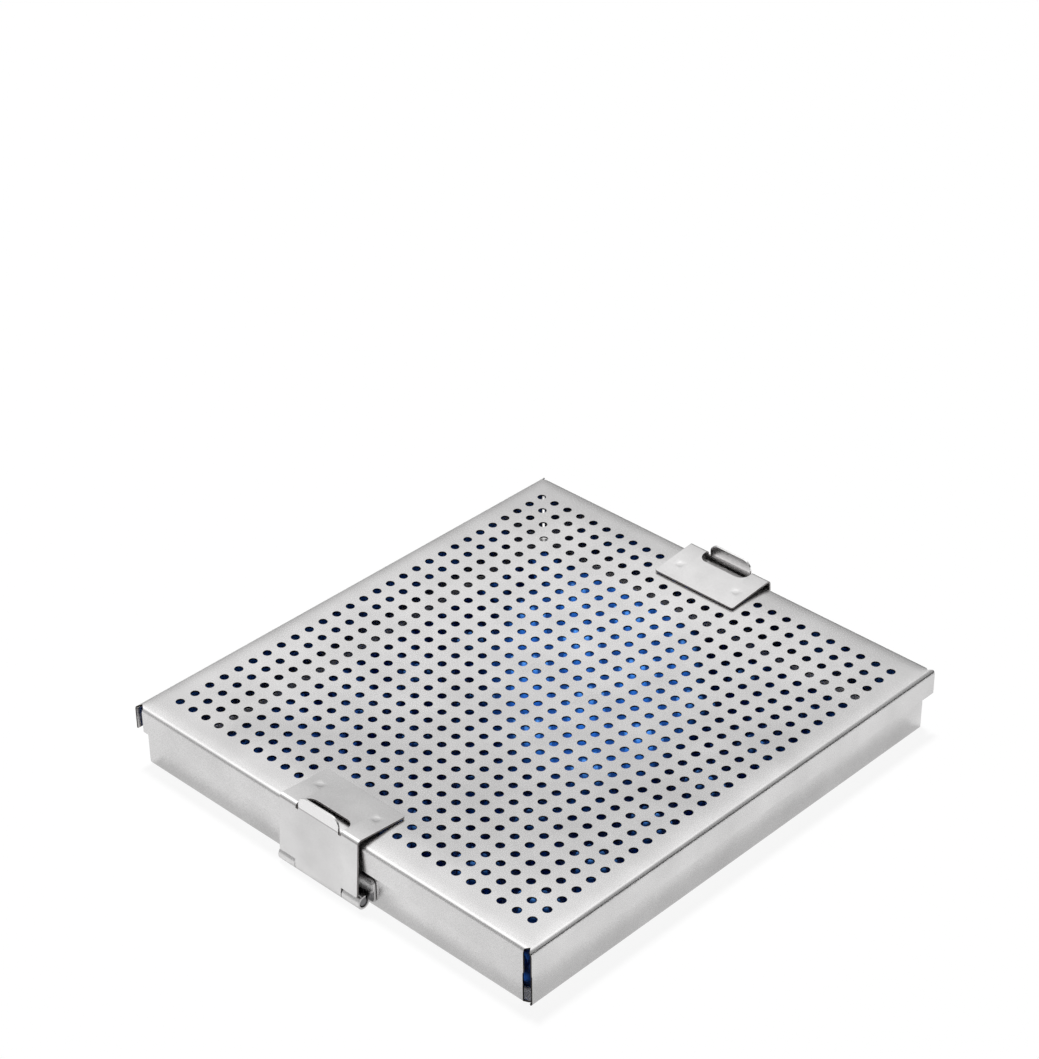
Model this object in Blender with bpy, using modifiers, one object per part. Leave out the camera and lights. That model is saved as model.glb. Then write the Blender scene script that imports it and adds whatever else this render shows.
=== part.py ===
"""A perforated stainless steel sterilization case, closed, with a silicone finger mat inside.

Metres, +Z up. The origin is the middle of the footprint on the table. X runs across the case
and Y runs from the front latch to the back latch. The sheet-metal pieces are open surfaces on
their outer faces, thickened inward.
"""
import math

import bmesh
import bpy
from mathutils import Matrix

MM = 0.001

# Clearances
TOUCH_GAP = 0.3 * MM
CUT_OVERRUN = 3.0 * MM
SAME_PLACE = 0.02 * MM

# The whole case
CASE_HEIGHT = 34.5 * MM
LID_SIZE_X = 253.0 * MM
LID_SIZE_Y = 274.5 * MM
SHEET = 0.8 * MM

# Lid: short skirts, corners left open, and a panel that is dished inside a flat rim
LID_SKIRT = 13.5 * MM
LID_CORNER_SLIT = 1.8 * MM
LID_BEND_RADIUS = 1.5 * MM
LID_DISH = 5.0 * MM
LID_RIM_X = 9.5 * MM
LID_RIM_Y = 19.25 * MM

# Tray: it stands inside the lid's skirts, and the lid's panel rests on its walls
LID_CLEARANCE = 2.6 * MM
TRAY_CORNER_SLIT = 2.6 * MM
TRAY_BEND_RADIUS = 2.0 * MM
BEND_SEGMENTS = 3
SAME_PLANE = math.radians(1.0)
SHARP_ANGLE = math.radians(35.0)

# Perforation: the real sheet has 4.5 mm holes at 9 mm. These solids have a plain grid of fewer,
# larger openings that leave the same share of the field open
HOLE_PITCH = 9.0 * MM
HOLE_RADIUS = 2.25 * MM
OPENINGS_ACROSS = 12
FIELD_MARGIN_X = 9.5 * MM
FIELD_MARGIN_Y = 11.25 * MM
LID_OPENING_SIDES = 6
TRAY_OPENING_SIDES = 4

# Silicone mat: tapered fingers on a thin base, every second row and column of the real ones
FINGER_ROWS_PER_CUT = 2
MAT_MARGIN = 7.0 * MM
MAT_BASE = 1.6 * MM
FINGER_HEIGHT = 4.8 * MM
FINGER_PITCH = 7.4 * MM
FINGER_ROOT_RADIUS = 2.0 * MM
FINGER_TIP_RADIUS = 1.0 * MM
FINGER_SIDES = 4
FINGER_EDGE_MARGIN = 5.0 * MM

# Hinges: curled knuckles around a pin at the foot of the front and the back wall
HINGE_SHEET = 1.0 * MM
KNUCKLE_RADIUS = 3.5 * MM
KNUCKLE_END_DEGREES = 110.0
KNUCKLE_SEGMENTS = 14
KNUCKLE_CUT_HEIGHT = 3.8 * MM
LEG_KNUCKLE_WIDTH = 29.7 * MM
BRACKET_WIDTH = 60.0 * MM
BRACKET_HEIGHT = 16.5 * MM
BRACKET_CORNER_RADIUS = 3.0 * MM
BRACKET_LIP = 0.3 * MM
BRACKET_SIDE_KEPT = 1.1 * MM
KNUCKLE_SPAN = 52.0 * MM
PIN_LENGTH = 51.0 * MM
PIN_SEGMENTS = 16
PIN_CHAMFER = 0.3 * MM

# Latches: a leg that leans in as it climbs past the skirt, a tab over the lid, and a finger
# flap that stays in the leg's plane
LEG_LEAN_DEGREES = 3.8
LATCH_WIDTH = 50.0 * MM
TAB_LENGTH = 29.0 * MM
TAB_LIFT = 2.0 * MM
LATCH_BEND_RADIUS = 2.2 * MM
LATCH_BEND_SEGMENTS = 4
TAB_CORNER_RADIUS = 1.2 * MM
WINDOW_WIDTH = 29.0 * MM
WINDOW_DEPTH = 8.8 * MM
WINDOW_CORNER_RADIUS = 5.0 * MM
FLAP_WIDTH = 24.6 * MM
FLAP_HEIGHT = 5.2 * MM
FLAP_CORNER_RADIUS = 4.5 * MM
FLAP_ROOT = 2.0 * MM
FLAP_INSET = 0.08 * MM
CORNER_SEGMENTS = 4
DIMPLE_SPACING = 36.0 * MM
DIMPLE_SETBACK = 11.0 * MM
DIMPLE_RADIUS = 2.2 * MM
DIMPLE_TIP_RADIUS = 1.2 * MM
DIMPLE_DEPTH = 0.5 * MM
DIMPLE_SEGMENTS = 12

# Sizes that follow from the ones above
TRAY_SIZE_X = LID_SIZE_X - 2 * (SHEET + LID_CLEARANCE)
TRAY_SIZE_Y = LID_SIZE_Y - 2 * (SHEET + LID_CLEARANCE)
TRAY_HEIGHT = CASE_HEIGHT - SHEET - TOUCH_GAP
OPEN_SHARE = math.pi * (HOLE_RADIUS / HOLE_PITCH) ** 2
OPENING_PITCH_X = (LID_SIZE_X - 2 * FIELD_MARGIN_X) / OPENINGS_ACROSS
OPENING_PITCH_Y = (LID_SIZE_Y - 2 * FIELD_MARGIN_Y) / OPENINGS_ACROSS
HINGE_Y = TRAY_SIZE_Y / 2 + TOUCH_GAP + KNUCKLE_RADIUS
HINGE_Z = TOUCH_GAP + KNUCKLE_RADIUS
PIN_RADIUS = KNUCKLE_RADIUS - HINGE_SHEET - TOUCH_GAP
FINGER_CUT_PITCH = FINGER_ROWS_PER_CUT * FINGER_PITCH

STEEL = (0.66, 0.65, 0.65, 1.0)
BRIGHT_STEEL = (0.74, 0.74, 0.75, 1.0)
DARK_STEEL = (0.30, 0.30, 0.31, 1.0)
SILICONE_BLUE = (0.02, 0.12, 0.42, 1.0)


def clear_scene():
    """Remove whatever the file opened with."""
    for thing in list(bpy.data.objects):
        bpy.data.objects.remove(thing, do_unlink=True)
    for collection in list(bpy.data.collections):
        bpy.data.collections.remove(collection)


def make_material(name, colour, roughness, metallic):
    """A Principled material."""
    material = bpy.data.materials.new(name)
    material.use_nodes = True
    shader = material.node_tree.nodes["Principled BSDF"]
    shader.inputs["Base Color"].default_value = colour
    shader.inputs["Roughness"].default_value = roughness
    shader.inputs["Metallic"].default_value = metallic
    return material


def make_object(name, bm, collection, material=None):
    """Turn a bmesh into an object in the given collection."""
    mesh = bpy.data.meshes.new(name)
    bm.to_mesh(mesh)
    bm.free()
    thing = bpy.data.objects.new(name, mesh)
    collection.objects.link(thing)
    if material is not None:
        mesh.materials.append(material)
    return thing


def make_tool(name, bm, parent=None):
    """A shape that only cuts or joins another piece."""
    tool = make_object(name, bm, TOOLS)
    tool.hide_render = True
    tool.display_type = "WIRE"
    tool.parent = parent
    return tool


def box_mesh(low, high):
    """A box between two corners."""
    bm = bmesh.new()
    bmesh.ops.create_cube(bm, size=1.0)
    for vert in bm.verts:
        for axis in range(3):
            vert.co[axis] = low[axis] if vert.co[axis] < 0 else high[axis]
    return bm


def round_box_edges(bm, wanted, radius):
    """Round the edges whose two ends both satisfy the test."""
    edges = [edge for edge in bm.edges if all(wanted(vert.co) for vert in edge.verts)]
    bmesh.ops.bevel(
        bm, geom=edges, offset=radius, segments=CORNER_SEGMENTS, profile=0.5, affect="EDGES")


def boolean(target, tool, operation):
    """Cut or join with the exact solver."""
    modifier = target.modifiers.new(operation.lower(), "BOOLEAN")
    modifier.operation = operation
    modifier.solver = "EXACT"
    modifier.object = tool


def thicken(thing, thickness):
    """Give an outer surface its thickness, inward."""
    modifier = thing.modifiers.new("sheet", "SOLIDIFY")
    modifier.thickness = thickness
    modifier.offset = -1.0
    modifier.use_even_offset = True


def finish_sheet(thing):
    """Keep the finished shape as the piece's own mesh, shaded smooth round bends and curls."""
    cut = thing.evaluated_get(bpy.context.evaluated_depsgraph_get())
    solid = bpy.data.meshes.new_from_object(cut)
    thing.modifiers.clear()
    thing.data = solid
    shade_round(thing)


def shade_round(thing):
    """Shade the bends and curls smooth, and keep the cut edges sharp."""
    thing.data.shade_smooth()
    thing.data.set_sharp_from_angle(angle=SHARP_ANGLE)


def spread(count, pitch):
    """Places at a pitch, centred on zero."""
    return [(index - (count - 1) / 2) * pitch for index in range(count)]


def prisms(places, radius_low, radius_high, low, high, sides):
    """Upright prisms or tapered fingers at the given places, from one height to another."""
    bm = bmesh.new()
    for x, y in places:
        bmesh.ops.create_cone(
            bm, cap_ends=True, segments=sides, radius1=radius_low, radius2=radius_high,
            depth=high - low, matrix=Matrix.Translation((x, y, (low + high) / 2)))
    return bm


def perforation(low, high, sides):
    """The grid of openings that the lid and the tray's floor share."""
    area = OPEN_SHARE * OPENING_PITCH_X * OPENING_PITCH_Y
    radius = math.sqrt(area / (sides / 2 * math.sin(math.tau / sides)))
    places = [(x, y) for x in spread(OPENINGS_ACROSS, OPENING_PITCH_X)
              for y in spread(OPENINGS_ACROSS, OPENING_PITCH_Y)]
    return prisms(places, radius, radius, low, high, sides)


def folded_panel(size_x, size_y, wall, slit, bend_radius, lines_x, lines_y):
    """The outer surface of a panel at zero height whose four sides fold towards wall.

    Walls stop short of each corner by slit. lines_x and lines_y add lines across the panel.
    """
    xs = [-size_x / 2, slit - size_x / 2, *lines_x, size_x / 2 - slit, size_x / 2]
    ys = [-size_y / 2, slit - size_y / 2, *lines_y, size_y / 2 - slit, size_y / 2]
    bm = bmesh.new()
    bmesh.ops.create_grid(bm, x_segments=len(xs) - 1, y_segments=len(ys) - 1, size=0.5)
    low = min(vert.co.x for vert in bm.verts)
    high = max(vert.co.x for vert in bm.verts)
    for vert in bm.verts:
        share_x = (vert.co.x - low) / (high - low)
        share_y = (vert.co.y - low) / (high - low)
        vert.co.x = xs[round(share_x * (len(xs) - 1))]
        vert.co.y = ys[round(share_y * (len(ys) - 1))]
    tolerance = slit / 2
    corners = [
        face for face in bm.faces
        if abs(face.calc_center_median().x) > size_x / 2 - slit
        and abs(face.calc_center_median().y) > size_y / 2 - slit]
    bmesh.ops.delete(bm, geom=corners, context="FACES")

    def on_side(vert):
        return (abs(abs(vert.co.x) - size_x / 2) < tolerance
                or abs(abs(vert.co.y) - size_y / 2) < tolerance)

    folds = [edge for edge in bm.edges if edge.is_boundary and all(map(on_side, edge.verts))]
    grown = bmesh.ops.extrude_edge_only(bm, edges=folds)["geom"]
    moved = [item for item in grown if isinstance(item, bmesh.types.BMVert)]
    bmesh.ops.translate(bm, verts=moved, vec=(0, 0, wall))
    bmesh.ops.bevel(
        bm, geom=folds, offset=bend_radius, segments=BEND_SEGMENTS, profile=0.5, affect="EDGES")
    bmesh.ops.recalc_face_normals(bm, faces=bm.faces)
    across = [
        edge for edge in bm.edges
        if len(edge.link_faces) == 2 and max(abs(vert.co.z) for vert in edge.verts) > SAME_PLACE
        and edge.calc_face_angle() < SAME_PLANE]
    bmesh.ops.dissolve_edges(bm, edges=across, use_verts=True)
    middle = min(bm.faces, key=lambda face: face.calc_center_median().length)
    if middle.normal.z * wall > 0:
        bmesh.ops.reverse_faces(bm, faces=bm.faces)
    return bm


def swept_sheet(path, width, corner_radius, outer_side):
    """The outer surface of a strip bent along a path of (y, z) points.

    outer_side is 1 where the outer face lies to the left of the path, Y to the right and Z
    up, and -1 where it lies to the right. The strip's corners at the path's end are rounded.
    """
    bm = bmesh.new()
    line = [bm.verts.new((-width / 2, y, z)) for y, z in path]
    edges = [bm.edges.new(pair) for pair in zip(line, line[1:])]
    grown = bmesh.ops.extrude_edge_only(bm, edges=edges)["geom"]
    moved = [item for item in grown if isinstance(item, bmesh.types.BMVert)]
    bmesh.ops.translate(bm, verts=moved, vec=(width, 0, 0))
    bm.normal_update()
    end_y, end_z = path[-1]
    step_y = end_y - path[-2][0]
    step_z = end_z - path[-2][1]
    ends = [vert for vert in bm.verts
            if abs(vert.co.y - end_y) + abs(vert.co.z - end_z) < SAME_PLACE]
    last = ends[0].link_faces[0]
    if outer_side * (last.normal.z * step_y - last.normal.y * step_z) < 0:
        bmesh.ops.reverse_faces(bm, faces=bm.faces)
    bmesh.ops.bevel(
        bm, geom=ends, offset=corner_radius, segments=CORNER_SEGMENTS, profile=0.5,
        affect="VERTICES")
    return bm


def arc(centre_y, centre_z, radius, start_degrees, end_degrees, segments):
    """Points along an arc in the YZ plane, both ends included."""
    points = []
    for index in range(segments + 1):
        angle = math.radians(start_degrees + (end_degrees - start_degrees) * index / segments)
        points.append((centre_y + radius * math.cos(angle), centre_z + radius * math.sin(angle)))
    return points


def make_tray():
    """The base tray: a perforated floor and four walls folded up."""
    surface = folded_panel(
        TRAY_SIZE_X, TRAY_SIZE_Y, TRAY_HEIGHT, TRAY_CORNER_SLIT, TRAY_BEND_RADIUS, [], [])
    tray = make_object("base_tray", surface, PARTS, STEEL_MATERIAL)
    thicken(tray, SHEET)
    openings = perforation(-CUT_OVERRUN, SHEET + CUT_OVERRUN, TRAY_OPENING_SIDES)
    boolean(tray, make_tool("tray_openings", openings), "DIFFERENCE")
    finish_sheet(tray)
    return tray


def dish_depth(x, y):
    """How far the lid's panel sinks at a place, zero on its flat rim."""
    reach_x = LID_SIZE_X / 2 - LID_RIM_X
    reach_y = LID_SIZE_Y / 2 - LID_RIM_Y
    if abs(x) >= reach_x or abs(y) >= reach_y:
        return 0.0
    return LID_DISH * (1 - (x / reach_x) ** 2) * (1 - (y / reach_y) ** 2)


def make_lid():
    """The lid: a perforated, slightly dished panel with four skirts folded down."""
    lines_x = spread(OPENINGS_ACROSS + 1, OPENING_PITCH_X)
    lines_y = spread(OPENINGS_ACROSS + 1, OPENING_PITCH_Y)
    surface = folded_panel(
        LID_SIZE_X, LID_SIZE_Y, -LID_SKIRT, LID_CORNER_SLIT, LID_BEND_RADIUS, lines_x, lines_y)
    lid = make_object("lid", surface, PARTS, STEEL_MATERIAL)
    thicken(lid, SHEET)
    openings = perforation(-SHEET - CUT_OVERRUN, CUT_OVERRUN, LID_OPENING_SIDES)
    boolean(lid, make_tool("lid_openings", openings), "DIFFERENCE")
    finish_sheet(lid)
    for vert in lid.data.vertices:
        vert.co.z -= dish_depth(vert.co.x, vert.co.y)
    lid.location.z = CASE_HEIGHT
    return lid


def make_mat():
    """The silicone mat: a base sheet with rows of tapered fingers, lying on the tray's floor."""
    half_x = TRAY_SIZE_X / 2 - SHEET - MAT_MARGIN
    half_y = TRAY_SIZE_Y / 2 - SHEET - MAT_MARGIN
    mat = make_object(
        "silicone_mat", box_mesh((-half_x, -half_y, 0), (half_x, half_y, MAT_BASE)), PARTS,
        SILICONE_MATERIAL)
    columns = 1 + int(2 * (half_x - FINGER_EDGE_MARGIN) / FINGER_CUT_PITCH)
    rows = 1 + int(2 * (half_y - FINGER_EDGE_MARGIN) / FINGER_CUT_PITCH)
    places = [(x, y) for x in spread(columns, FINGER_CUT_PITCH) for y in spread(rows, FINGER_CUT_PITCH)]
    fingers = prisms(
        places, FINGER_ROOT_RADIUS, FINGER_TIP_RADIUS, MAT_BASE / 2, MAT_BASE + FINGER_HEIGHT,
        FINGER_SIDES)
    boolean(mat, make_tool("mat_fingers", fingers, mat), "UNION")
    mat.location.z = SHEET + TOUCH_GAP
    return mat


def make_bracket(name, outward):
    """A plate on the tray's wall, curled into two knuckles. Its origin is on the hinge axis.

    The plate is wider than its knuckles, so the curl is cut away beside them.
    """
    plate_top = BRACKET_HEIGHT - HINGE_Z
    curl = arc(0, 0, KNUCKLE_RADIUS, 180 - KNUCKLE_END_DEGREES - 360, 0, KNUCKLE_SEGMENTS)
    path = [*curl, (KNUCKLE_RADIUS, plate_top)]
    bracket = make_object(
        name, swept_sheet(path, BRACKET_WIDTH, BRACKET_CORNER_RADIUS, -1), PARTS, STEEL_MATERIAL)
    thicken(bracket, HINGE_SHEET)
    reach = KNUCKLE_RADIUS + CUT_OVERRUN
    half_gap = LEG_KNUCKLE_WIDTH / 2 + TOUCH_GAP
    relief = box_mesh((-half_gap, -reach, -reach), (half_gap, reach, KNUCKLE_CUT_HEIGHT))
    boolean(bracket, make_tool(name + "_relief", relief, bracket), "DIFFERENCE")
    edge = BRACKET_WIDTH / 2 + CUT_OVERRUN
    for end, low_x, high_x in (("left", -edge, -KNUCKLE_SPAN / 2), ("right", KNUCKLE_SPAN / 2, edge)):
        below = box_mesh((low_x, -reach, -reach), (high_x, reach, -BRACKET_LIP))
        boolean(bracket, make_tool(f"{name}_{end}_below", below, bracket), "DIFFERENCE")
        beside = box_mesh(
            (low_x, -reach, -reach), (high_x, KNUCKLE_RADIUS - BRACKET_SIDE_KEPT, reach))
        boolean(bracket, make_tool(f"{name}_{end}_curl", beside, bracket), "DIFFERENCE")
    finish_sheet(bracket)
    place_on_hinge(bracket, outward)
    return bracket


def place_on_hinge(thing, outward):
    """Put a piece modelled for the front hinge on the front (-1) or back (+1) hinge axis."""
    thing.location = (0, outward * HINGE_Y, HINGE_Z)
    thing.rotation_euler.z = math.pi if outward > 0 else 0.0


def make_pin(name, outward):
    """The hinge pin, with chamfered ends, a little shorter than the knuckles that hold it."""
    bm = bmesh.new()
    bmesh.ops.create_cone(
        bm, cap_ends=True, segments=PIN_SEGMENTS, radius1=PIN_RADIUS, radius2=PIN_RADIUS,
        depth=PIN_LENGTH, matrix=Matrix.Rotation(math.pi / 2, 4, "Y"))
    rims = [edge for edge in bm.edges
            if abs(edge.verts[0].co.x - edge.verts[1].co.x) < SAME_PLACE]
    bmesh.ops.bevel(bm, geom=rims, offset=PIN_CHAMFER, segments=1, profile=0.5, affect="EDGES")
    pin = make_object(name, bm, PARTS, PIN_MATERIAL)
    shade_round(pin)
    place_on_hinge(pin, outward)
    return pin


def make_latch(name, outward):
    """An L-shaped latch, closed. Its origin is on its hinge axis, and -Y is its outer side."""
    lid_top = CASE_HEIGHT - HINGE_Z
    tab_top = lid_top + TAB_LIFT + HINGE_SHEET
    tip_top = lid_top + TOUCH_GAP + HINGE_SHEET
    lean = math.radians(LEG_LEAN_DEGREES)
    slope = math.degrees(math.atan((tab_top - tip_top) / (TAB_LENGTH - LATCH_BEND_RADIUS)))
    bend_z = tab_top - LATCH_BEND_RADIUS
    bend_y = (LATCH_BEND_RADIUS - KNUCKLE_RADIUS + bend_z * math.sin(lean)) / math.cos(lean)
    leg_y = bend_y - LATCH_BEND_RADIUS / math.cos(lean)
    tip_y = leg_y + TAB_LENGTH
    path = [
        *arc(0, 0, KNUCKLE_RADIUS, KNUCKLE_END_DEGREES, -180 - LEG_LEAN_DEGREES, KNUCKLE_SEGMENTS),
        *arc(bend_y, bend_z, LATCH_BEND_RADIUS, 180 - LEG_LEAN_DEGREES, 90 - slope,
             LATCH_BEND_SEGMENTS),
        (tip_y, tip_top)]
    latch = make_object(
        name, swept_sheet(path, LATCH_WIDTH, TAB_CORNER_RADIUS, 1), PARTS, BRIGHT_MATERIAL)
    thicken(latch, HINGE_SHEET)

    reach = KNUCKLE_RADIUS + CUT_OVERRUN
    edge = LATCH_WIDTH / 2 + CUT_OVERRUN
    foot = LEG_KNUCKLE_WIDTH / 2
    for end, low_x, high_x in (("left", -edge, -foot), ("right", foot, edge)):
        cut = box_mesh((low_x, -reach, -reach), (high_x, reach, KNUCKLE_CUT_HEIGHT))
        boolean(latch, make_tool(f"{name}_{end}_foot", cut, latch), "DIFFERENCE")

    window_y = leg_y + WINDOW_DEPTH
    window = box_mesh(
        (-WINDOW_WIDTH / 2, -reach, bend_z - FLAP_ROOT / 2),
        (WINDOW_WIDTH / 2, window_y, tab_top + CUT_OVERRUN))
    round_box_edges(window, lambda co: co.y > 0 and co.x < 0, WINDOW_CORNER_RADIUS)
    round_box_edges(window, lambda co: co.y > 0 and co.x > 0, WINDOW_CORNER_RADIUS)
    boolean(latch, make_tool(name + "_window", window, latch), "DIFFERENCE")

    flap_top = tab_top + FLAP_HEIGHT
    flap = box_mesh(
        (-FLAP_WIDTH / 2, leg_y + FLAP_INSET, bend_z - FLAP_ROOT),
        (FLAP_WIDTH / 2, leg_y + HINGE_SHEET - FLAP_INSET, flap_top))
    round_box_edges(flap, lambda co: co.z > bend_z and co.x < 0, FLAP_CORNER_RADIUS)
    round_box_edges(flap, lambda co: co.z > bend_z and co.x > 0, FLAP_CORNER_RADIUS)
    bmesh.ops.rotate(
        flap, verts=flap.verts, cent=(0, leg_y, bend_z), matrix=Matrix.Rotation(-lean, 3, "X"))
    boolean(latch, make_tool(name + "_flap", flap, latch), "UNION")

    dimple_y = tip_y - DIMPLE_SETBACK
    dimple_top = tip_top + DIMPLE_SETBACK * math.tan(math.radians(slope))
    dimple_low = dimple_top - HINGE_SHEET
    places = [(x, dimple_y) for x in spread(2, DIMPLE_SPACING)]
    bumps = prisms(
        places, DIMPLE_TIP_RADIUS, DIMPLE_RADIUS, dimple_low - DIMPLE_DEPTH,
        dimple_low + HINGE_SHEET / 2, DIMPLE_SEGMENTS)
    boolean(latch, make_tool(name + "_bumps", bumps, latch), "UNION")
    dents = prisms(
        places, DIMPLE_TIP_RADIUS, DIMPLE_RADIUS, dimple_top - DIMPLE_DEPTH,
        dimple_top + HINGE_SHEET / 2, DIMPLE_SEGMENTS)
    boolean(latch, make_tool(name + "_dents", dents, latch), "DIFFERENCE")
    finish_sheet(latch)
    place_on_hinge(latch, outward)
    return latch


clear_scene()
PARTS = bpy.data.collections.new("sterilization_case")
TOOLS = bpy.data.collections.new("cutters")
bpy.context.scene.collection.children.link(PARTS)
bpy.context.scene.collection.children.link(TOOLS)
STEEL_MATERIAL = make_material("satin_steel", STEEL, 0.34, 1.0)
BRIGHT_MATERIAL = make_material("latch_steel", BRIGHT_STEEL, 0.26, 1.0)
PIN_MATERIAL = make_material("pin_steel", DARK_STEEL, 0.40, 1.0)
SILICONE_MATERIAL = make_material("blue_silicone", SILICONE_BLUE, 0.55, 0.0)

make_tray()
make_mat()
make_lid()
for side_name, side_outward in (("front", -1), ("back", 1)):
    make_bracket(side_name + "_hinge_bracket", side_outward)
    make_pin(side_name + "_hinge_pin", side_outward)
    make_latch(side_name + "_latch", side_outward)
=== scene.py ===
"""The closed sterilization case as the photograph shows it, dressed over the CAD frame.

Every sheet-metal piece is made as its maker makes it: a flat blank is cut, folded along its
bend lines, and then given the sheet's thickness.
"""
import math

import bmesh
import bpy
from mathutils import Matrix, Vector


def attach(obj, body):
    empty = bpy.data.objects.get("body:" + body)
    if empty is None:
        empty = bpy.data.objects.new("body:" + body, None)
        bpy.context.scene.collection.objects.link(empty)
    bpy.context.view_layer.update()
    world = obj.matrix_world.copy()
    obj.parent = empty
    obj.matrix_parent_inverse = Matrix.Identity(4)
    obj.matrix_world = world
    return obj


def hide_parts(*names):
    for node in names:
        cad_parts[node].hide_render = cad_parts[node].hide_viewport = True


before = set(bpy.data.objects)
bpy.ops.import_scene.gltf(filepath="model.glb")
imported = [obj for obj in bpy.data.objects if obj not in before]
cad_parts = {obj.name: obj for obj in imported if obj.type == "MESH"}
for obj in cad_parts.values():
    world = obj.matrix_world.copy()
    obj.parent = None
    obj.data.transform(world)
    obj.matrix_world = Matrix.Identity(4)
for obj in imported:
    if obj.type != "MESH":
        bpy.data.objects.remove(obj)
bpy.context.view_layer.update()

MM = 0.001
SAME_PLACE = 0.004 * MM
SHARP_ANGLE = math.radians(32.0)

# The case, as in the CAD
CASE_HEIGHT = 34.5 * MM
SHEET = 0.8 * MM
TOUCH_GAP = 0.3 * MM
LID_HALF = (126.5 * MM, 137.25 * MM)
TRAY_HALF = (123.1 * MM, 133.85 * MM)
LID_SKIRT = 13.5 * MM
TRAY_HEIGHT = 33.4 * MM
LID_FOLD_RADIUS = 2.6 * MM
TRAY_FOLD_RADIUS = 2.0 * MM
FOLD_STEPS = 7
TRAY_SLIT = 2.6 * MM
PANEL_LINES = 4
# Where the left, right, front and back sides end after their folds' first steps, low end first
FOLD_END_STEPS = 3
LID_ENDS = ((-137.05, 137.05), (-136.8, 137.05), (-121.6, 122.0), (-121.6, 121.6))
TRAY_ENDS = ((-128.3, 132.3), (-133.0, 133.65), (-122.9, 118.3), (-121.5, 117.3))

# Perforation
HOLE_PITCH = 9.0 * MM
HOLE_RADIUS = 2.25 * MM
HOLE_SIDES = 16
HOLE_COLUMNS = 26
HOLE_ROWS = 28

# The lid's panel sinks inside its rim, and its edge falls off softly before the fold
DISH_DEPTH = 5.0 * MM
DISH_REACH = (117.0 * MM, 118.0 * MM)
DISH_SOFTNESS = 0.09
EDGE_FALL = ((2.6, 0.22), (3.4, 0.14), (4.4, 0.07), (6.5, 0.0))

# Finger mat
MAT_HALF = (115.3 * MM, 126.05 * MM)
MAT_BASE = 1.6 * MM
MAT_CORNER = 6.0 * MM
FINGER_PITCH = 7.4 * MM
FINGER_COLUMNS = 29
FINGER_ROWS = 33
FINGER_SIDES = 8
FINGER_PROFILE = ((2.55, 0.0), (2.0, 0.45), (1.55, 2.9), (1.3, 4.2), (0.75, 4.8))
FINGER_INSET = 0.5625 * MM
MAT_TOP = SHEET + TOUCH_GAP + MAT_BASE
FINGER_TIPS = MAT_TOP + FINGER_PROFILE[-1][1] * MM
MAT_SHARP_ANGLE = math.radians(50)

# Hinges and latches
HINGE_Y = 137.65 * MM
HINGE_Z = 3.8 * MM
HINGE_SHEET = 1.0 * MM
KNUCKLE_RADIUS = 3.5 * MM
KNUCKLE_END = 110.0
KNUCKLE_STEPS = 22
KNUCKLE_CUT = 3.8 * MM
LEG_KNUCKLE_HALF = 14.85 * MM
KNUCKLE_SPAN_HALF = 26.0 * MM
PLATE_HALF = 30.0 * MM
PLATE_TOP = 12.7 * MM
PLATE_CORNER = 3.0 * MM
PLATE_LIP = 0.3 * MM
LATCH_HALF = 25.0 * MM
LEG_LEAN = 3.8
TAB_LENGTH = 29.0 * MM
TAB_LIFT = 2.0 * MM
TAB_FOLD_RADIUS = 2.2 * MM
TAB_FOLD_STEPS = 8
TAB_CORNER = 1.2 * MM
WINDOW_HALF = 14.5 * MM
WINDOW_DEPTH = 8.8 * MM
WINDOW_CORNER = 5.0 * MM
FLAP_HALF = 12.8 * MM
FLAP_RISE = 5.2 * MM
FLAP_CORNER = 4.5 * MM
FLAP_RELIEF = 0.3 * MM
# Where the latch's painted flap highlight and painted root shade line lie
FLAP_ROOT = 36.2 * MM
FLAP_PLANE = 137.4 * MM
FLAP_BLEND = 0.3 * MM
ROOT_BLEND = 0.6 * MM
ROOT_LINE = 0.35 * MM
TIP_DIP = 0.6 * MM
DIMPLE_X = 18.0 * MM
DIMPLE_SETBACK = 11.0 * MM
DIMPLE_RADIUS = 2.2 * MM
DIMPLE_PROFILE = ((1.0, 0.0), (0.82, 0.04), (0.6, 0.09), (0.3, 0.11))
DIMPLE_CELL = 1.5 * DIMPLE_RADIUS
DIMPLE_EDGE_CUTS = 3
EDGE_BREAK = 0.12 * MM
CORNER_STEPS = 6
EDGE_STEPS = 2

# Camera, as fitted to the photograph's 1059 pixels of height: its place is in mm over the lid
SENSOR = 36.0
LENS = 2897.1 * SENSOR / 1059.0
CLIP_START = 0.01
CAMERA_PLACE = (756.112, -789.309, 791.165)
CAMERA_RIGHT = (0.721356, 0.692504, -0.009143)
CAMERA_UP = (-0.369543, 0.396037, 0.840591)
CAMERA_BACK = (0.585734, -0.602987, 0.541593)

# Floor card: how much of the white each kind of look at it gets, and where the steel's ends
CARD_HALF = 4.0
CARD_DROP = 0.05 * MM
CARD_WHITE = 1.03
CARD_SEEN = 0.88
CARD_MIRRORED = 0.6
CARD_MIRRORED_TO = (175.0 * MM, 240.0 * MM)
CARD_HIDDEN = 0.85

# Room: levels as (direction, from, to, level from, level to), and the share that falls on things
ROOM_RISE = ((0, 0, 1), 0.2, 0.48, 0.0, 1.0)
ROOM_LOW_WALL = ((0.7, 0.7, 0), -0.4, 0.6, 0.6, 0.02)
ROOM_CEILING = ((-0.35, 0.15, 0.92), 0.65, 0.97, 0.46, 1.28)
ROOM_OVERHEAD = ((0, 0, 1), 0.74, 0.86, 0.0, 0.5)
ROOM_ZENITH = ((0, 0, 1), 0.93, 0.985, 0.0, -0.8)
ROOM_FALLEN = 0.1

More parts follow.
